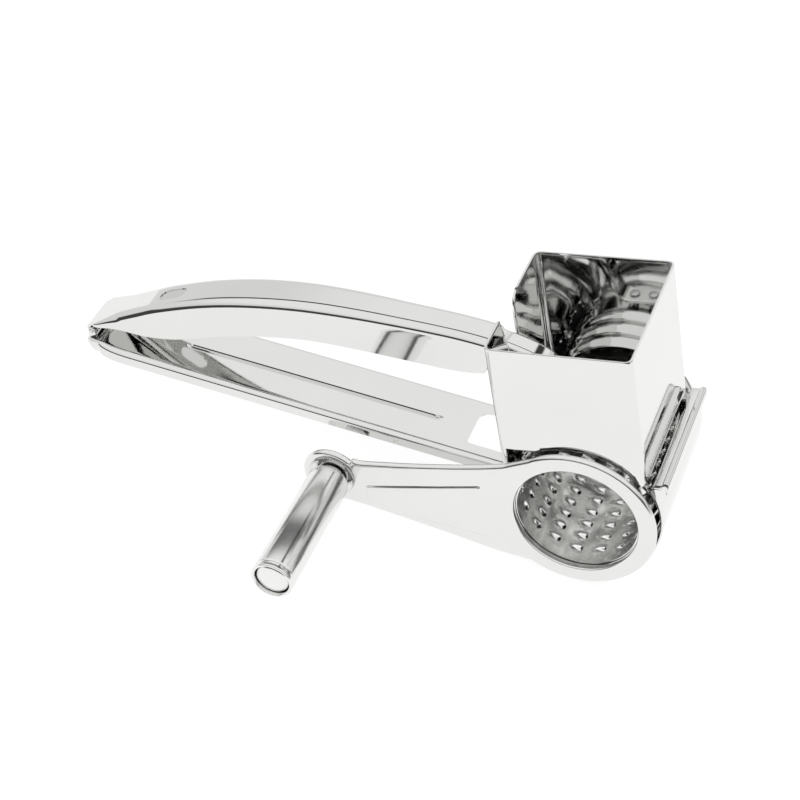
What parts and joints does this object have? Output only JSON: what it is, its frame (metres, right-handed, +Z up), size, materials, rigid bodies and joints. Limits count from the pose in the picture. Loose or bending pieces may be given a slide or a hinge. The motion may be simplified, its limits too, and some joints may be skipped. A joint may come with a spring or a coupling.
{
  "type": "rotary cheese grater",
  "caption": "Hand cranked rotary cheese grater in polished steel: square hopper on a long handle, hinged pusher handle, perforated drum and turning grip.",
  "frame": {"origin": "middle of the bounding box at table level, the tool lying on its drum cradle and crank arm", "axes": "+X from the handle's hinge towards the drum, +Y from the open crank side to the rear cover, +Z up"},
  "size_m": [0.223, 0.122, 0.1013],
  "materials": {
    "polished_steel": "mirror polished stainless steel sheet",
    "drum_steel": "bright rolled stainless steel with punched teeth",
    "fastener_steel": "satin stainless steel",
    "bearing_bronze": "plain sintered bronze",
    "grip_bush_nylon": "natural nylon"
  },
  "bodies": {
    "frame": {"lower_handle": "polished_steel", "hopper_shell": "polished_steel", "drum_cradle": "polished_steel", "rear_cover": "polished_steel", "rear_bearing_bush": "bearing_bronze", "hinge_pin": "fastener_steel", "handle_rivet_1": "fastener_steel", "handle_rivet_2": "fastener_steel", "cradle_rivet_1": "fastener_steel", "cradle_rivet_2": "fastener_steel", "cover_rivet_1": "fastener_steel", "cover_rivet_2": "fastener_steel", "cover_rivet_3": "fastener_steel", "cover_rivet_4": "fastener_steel"},
    "pusher": {"upper_handle": "polished_steel", "hinge_barrel": "polished_steel", "presser_plate": "polished_steel", "presser_rivet_1": "fastener_steel", "presser_rivet_2": "fastener_steel"},
    "drum": {"drum_barrel": "drum_steel", "drum_back_disc": "drum_steel", "drum_axle": "fastener_steel", "drum_spacer": "fastener_steel", "drum_rim_band": "polished_steel", "axle_washer": "fastener_steel", "axle_cap_nut": "polished_steel", "crank_arm": "polished_steel", "grip_pin": "fastener_steel", "grip_washer": "fastener_steel", "pin_clip": "fastener_steel"},
    "grip": {"grip_tube": "polished_steel", "grip_end_cap": "polished_steel", "grip_bush_inner": "grip_bush_nylon", "grip_bush_outer": "grip_bush_nylon"}
  },
  "joints": [
    {"name": "crank_spin", "type": "hinge", "parent": "frame", "child": "drum", "pos_m": [0.08248, -0.0034, 0.029], "axis": [0, 1, 0], "continuous": true},
    {"name": "grip_spin", "type": "hinge", "parent": "drum", "child": "grip", "pos_m": [-0.00509, -0.0334, 0.011], "axis": [0, 1, 0], "continuous": true},
    {"name": "pusher_open", "type": "hinge", "parent": "frame", "child": "pusher", "pos_m": [-0.10909, 0.0212, 0.02195], "axis": [0, -1, 0], "range_deg": [0, 90]}
  ]
}
